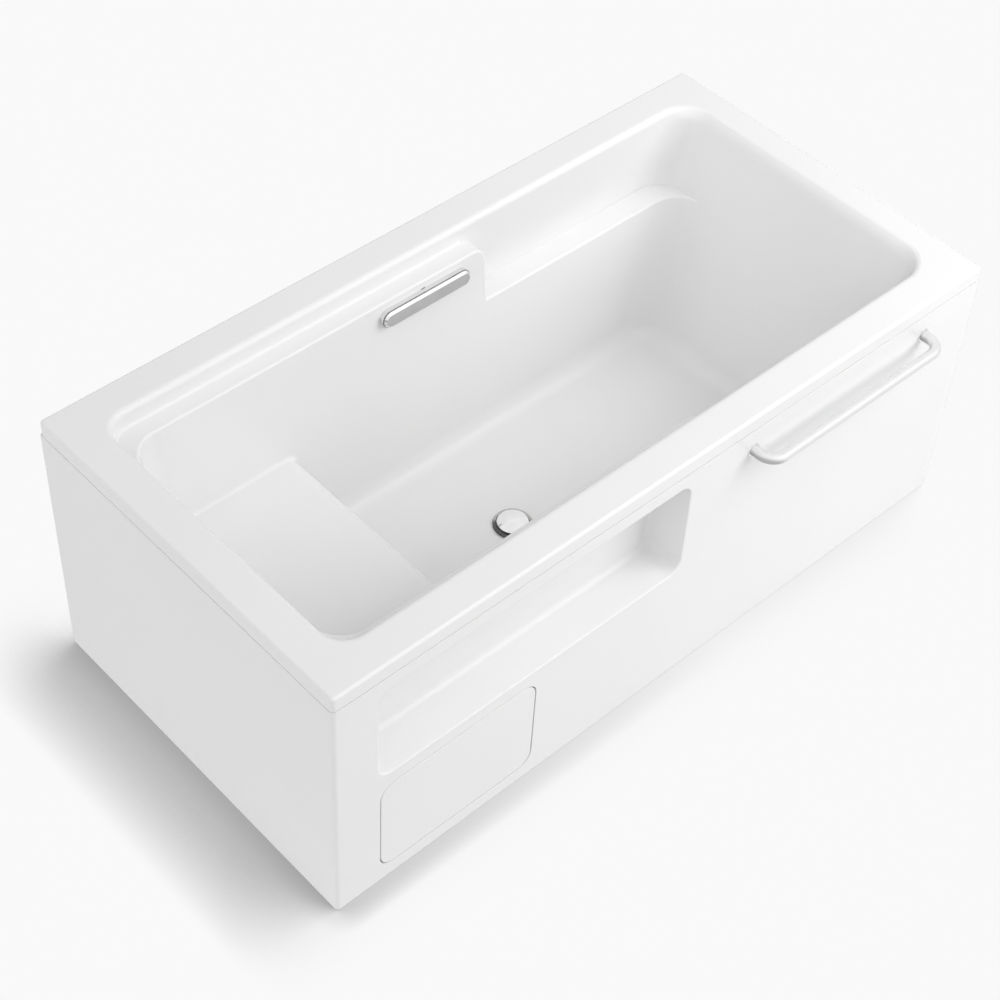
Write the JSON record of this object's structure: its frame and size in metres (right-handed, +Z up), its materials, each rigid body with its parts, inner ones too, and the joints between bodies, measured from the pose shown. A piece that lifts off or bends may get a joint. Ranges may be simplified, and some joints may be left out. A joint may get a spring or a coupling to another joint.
{
  "type": "corner bathtub",
  "caption": "Rectangular corner bathtub with moulded seat, soap ledge and armrests, panelled front and foot end with a niche, service hatch and towel bar, on a levelling frame",
  "frame": {"origin": "on the floor, under the middle of the overall box, which is the 1500 x 750 mm tub with the towel bar in front of it", "axes": "X along the tub, + to the leaning backrest; Y across it, + to the long wall behind; Z up"},
  "size_m": [1.5, 0.804, 0.57],
  "materials": {
    "bath_acrylic": "high gloss white",
    "seal_rubber": "matt",
    "moulded_frame": "matt white",
    "magnet": "satin",
    "zinc_steel": "zinc plated",
    "chrome": "polished",
    "pipe_plastic": "matt white",
    "plug_plastic": "matt black",
    "board": "raw particle board",
    "frame_steel": "galvanised look"
  },
  "bodies": {
    "tub": {"tub_shell": "bath_acrylic", "skirt": "bath_acrylic", "skirt_seal": "seal_rubber", "hatch_frame": "moulded_frame", "hatch_magnets": "magnet", "towel_bar": "chrome", "towel_bar_roses": "chrome", "towel_bar_plugs": "plug_plastic", "towel_bar_washers": "zinc_steel", "towel_bar_bolts": "zinc_steel", "drain_flange": "chrome", "flange_seal": "seal_rubber", "body_seal": "seal_rubber", "waste_body": "pipe_plastic", "trap_body": "pipe_plastic", "trap_lid": "pipe_plastic", "trap_nuts": "pipe_plastic", "trap_inlet": "pipe_plastic", "outlet_pipe": "pipe_plastic", "overflow_cover": "chrome", "overflow_seal": "seal_rubber", "overflow_elbow": "pipe_plastic", "overflow_screw": "zinc_steel", "overflow_pipe": "pipe_plastic", "overflow_nuts": "pipe_plastic", "base_board": "board", "seat_board": "board", "long_battens": "board", "end_battens": "board", "side_rails": "frame_steel", "cross_members": "frame_steel", "rail_caps": "plug_plastic", "seat_posts": "frame_steel", "foot_nuts": "zinc_steel", "front_braces": "frame_steel", "end_braces": "frame_steel", "skirt_clips": "frame_steel", "clip_screws": "zinc_steel"},
    "waste_plug": {"plug": "chrome"},
    "hatch": {"access_panel": "bath_acrylic", "hatch_strikers": "zinc_steel"},
    "foot_1": {"foot_rod_1": "zinc_steel", "foot_pad_1": "plug_plastic"},
    "foot_2": {"foot_rod_2": "zinc_steel", "foot_pad_2": "plug_plastic"},
    "foot_3": {"foot_rod_3": "zinc_steel", "foot_pad_3": "plug_plastic"},
    "foot_4": {"foot_rod_4": "zinc_steel", "foot_pad_4": "plug_plastic"},
    "foot_5": {"foot_rod_5": "zinc_steel", "foot_pad_5": "plug_plastic"},
    "foot_6": {"foot_rod_6": "zinc_steel", "foot_pad_6": "plug_plastic"}
  },
  "joints": [
    {"name": "plug_lift", "type": "slide", "parent": "tub", "child": "waste_plug", "axis": [0, 0, 1], "range_m": [0, 0.012]},
    {"name": "hatch_pull", "type": "slide", "parent": "tub", "child": "hatch", "axis": [0, -1, 0], "range_m": [0, 0.06]},
    {"name": "foot_1_level", "type": "slide", "parent": "tub", "child": "foot_1", "axis": [0, 0, -1], "range_m": [0, 0.025]},
    {"name": "foot_2_level", "type": "slide", "parent": "tub", "child": "foot_2", "axis": [0, 0, -1], "range_m": [0, 0.025]},
    {"name": "foot_3_level", "type": "slide", "parent": "tub", "child": "foot_3", "axis": [0, 0, -1], "range_m": [0, 0.025]},
    {"name": "foot_4_level", "type": "slide", "parent": "tub", "child": "foot_4", "axis": [0, 0, -1], "range_m": [0, 0.025]},
    {"name": "foot_5_level", "type": "slide", "parent": "tub", "child": "foot_5", "axis": [0, 0, -1], "range_m": [0, 0.025]},
    {"name": "foot_6_level", "type": "slide", "parent": "tub", "child": "foot_6", "axis": [0, 0, -1], "range_m": [0, 0.025]}
  ]
}
